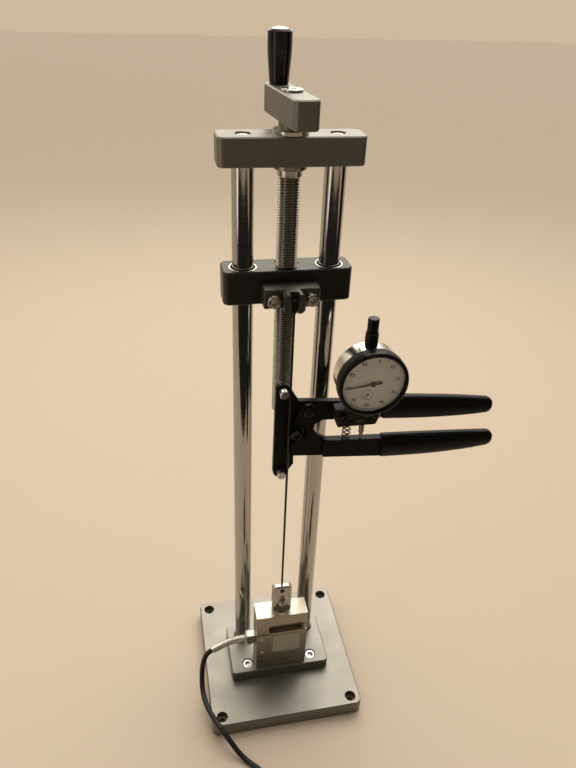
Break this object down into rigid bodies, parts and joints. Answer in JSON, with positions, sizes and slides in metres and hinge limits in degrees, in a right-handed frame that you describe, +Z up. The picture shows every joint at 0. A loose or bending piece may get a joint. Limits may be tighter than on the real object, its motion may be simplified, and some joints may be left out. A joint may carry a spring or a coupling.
{
  "type": "spoke tension meter on a calibration stand",
  "caption": "Plier-shaped spoke tension meter with a dial, clipped to a spoke that a crank-driven crosshead pulls against an S-shaped load cell on a two-column stand.",
  "frame": {"origin": "middle of the base plate's underside", "axes": "+X right along the meter's handles, +Y back, +Z up along the columns and the spoke"},
  "size_m": [0.2681, 0.309, 0.6068],
  "materials": {
    "anodised_grey": "satin anodised",
    "anodised_black": "satin anodised",
    "bracket_grey": "matt anodised",
    "chrome": "hard chrome, polished",
    "nickel": "nickel plated, satin",
    "bright_steel": "zinc plated",
    "screw_steel": "oiled steel",
    "dark_steel": "blackened",
    "bronze": "plain",
    "black_spoke": "black coated steel",
    "cable_jacket": "matt",
    "relief_spring": "bright wire",
    "meter_black": "powder coated",
    "grip_rubber": "semi-gloss dipped",
    "clamp_black": "rough black",
    "case_silver": "polished",
    "dial_face": "printed",
    "needle_black": "matt",
    "bezel_black": "knurled",
    "crystal": "clear",
    "grip_black": "gloss"
  },
  "bodies": {
    "stand": {"base_plate": "anodised_grey", "riser_plate": "anodised_grey", "riser_screws": "bright_steel", "column_left": "chrome", "column_right": "chrome", "column_foot_bolts": "bright_steel", "column_top_screws": "bright_steel", "top_plate": "anodised_grey", "screw_bearing": "dark_steel", "load_cell": "nickel", "load_cell_bolt": "bright_steel", "gauge_cover": "nickel", "gauge_cover_screws": "bright_steel", "spoke_anchor": "bright_steel", "anchor_screw": "bright_steel", "spoke": "black_spoke", "spoke_nipple": "black_spoke", "gland_body": "nickel", "gland_nut": "bright_steel", "strain_relief": "relief_spring", "cable_lead": "cable_jacket", "cable_coil": "cable_jacket", "cable_tail": "cable_jacket", "cable_plug": "grip_black", "plug_ring": "bright_steel"},
    "crosshead": {"crosshead": "anodised_black", "bush_left": "bright_steel", "bush_right": "bright_steel", "lead_nut": "bronze", "spoke_bracket": "bracket_grey", "bracket_screws": "bright_steel"},
    "screw": {"lead_screw": "screw_steel", "screw_collar": "bright_steel", "thrust_washer": "bright_steel", "crank_arm": "anodised_grey", "crank_screw": "bright_steel", "grip_spindle": "bright_steel"},
    "crank_grip": {"crank_grip": "grip_black"},
    "meter": {"meter_frame": "meter_black", "upper_grip": "grip_rubber", "jaw_pin_top": "bright_steel", "jaw_pin_bottom": "bright_steel", "lever_pin": "dark_steel", "dial_clamp": "clamp_black", "clamp_screws": "bright_steel", "dial_case": "case_silver", "spindle_guard": "bezel_black", "dial_centre": "dial_face", "return_spring": "dark_steel"},
    "lever": {"lever": "meter_black", "roller_axle": "dark_steel", "lower_grip": "grip_rubber"},
    "roller": {"contact_roller": "dark_steel"},
    "spindle": {"dial_spindle": "bright_steel", "spindle_cap": "bezel_black"},
    "needle": {"main_needle": "needle_black"},
    "counter": {"counter_needle": "needle_black"},
    "bezel": {"dial_bezel": "bezel_black", "scale_ring": "dial_face", "dial_crystal": "crystal"}
  },
  "joints": [
    {"name": "crank_turn", "type": "hinge", "parent": "stand", "child": "screw", "pos_m": [0, 0.0178, 0.55], "axis": [0, 0, 1], "range_deg": [0, 8100]},
    {"name": "crosshead_slide", "type": "slide", "parent": "stand", "child": "crosshead", "axis": [0, 0, 1], "range_m": [-0.045, 0]},
    {"name": "grip_spin", "type": "hinge", "parent": "screw", "child": "crank_grip", "pos_m": [-0.00335, 0.04862, 0.59], "axis": [0, 0, 1], "continuous": true},
    {"name": "meter_swivel", "type": "hinge", "parent": "stand", "child": "meter", "pos_m": [0, -0.0164, 0.3168], "axis": [0, 0, 1], "range_deg": [-100, 15]},
    {"name": "lever_squeeze", "type": "hinge", "parent": "meter", "child": "lever", "pos_m": [0.0155, -0.0164, 0.3373], "axis": [0, -1, 0], "range_deg": [0, 4.5], "stiffness_Nm_per_rad": 2, "springref_deg": -5.73, "deforming": ["return_spring"]},
    {"name": "roller_spin", "type": "hinge", "parent": "lever", "child": "roller", "pos_m": [0.0061, -0.0164, 0.3178], "axis": [0, -1, 0], "continuous": true},
    {"name": "spindle_rise", "type": "slide", "parent": "meter", "child": "spindle", "axis": [0, 0, 1], "range_m": [0, 0.0037]},
    {"name": "needle_turn", "type": "hinge", "parent": "meter", "child": "needle", "pos_m": [0.0613, -0.0314, 0.3706], "axis": [0, 1, 0], "range_deg": [0, 1316]},
    {"name": "counter_turn", "type": "hinge", "parent": "meter", "child": "counter", "pos_m": [0.0575, -0.0314, 0.3609], "axis": [0, 1, 0], "range_deg": [-132, 0]},
    {"name": "bezel_turn", "type": "hinge", "parent": "meter", "child": "bezel", "pos_m": [0.0613, -0.0314, 0.3706], "axis": [0, 1, 0], "continuous": true}
  ],
  "couplings": [
    {"joint": "crosshead_slide", "follows": "crank_turn", "m_per_rad": -0.00031831},
    {"joint": "spindle_rise", "follows": "lever_squeeze", "m_per_rad": 0.04648},
    {"joint": "needle_turn", "follows": "lever_squeeze", "ratio": 292},
    {"joint": "counter_turn", "follows": "lever_squeeze", "ratio": -29.2}
  ]
}
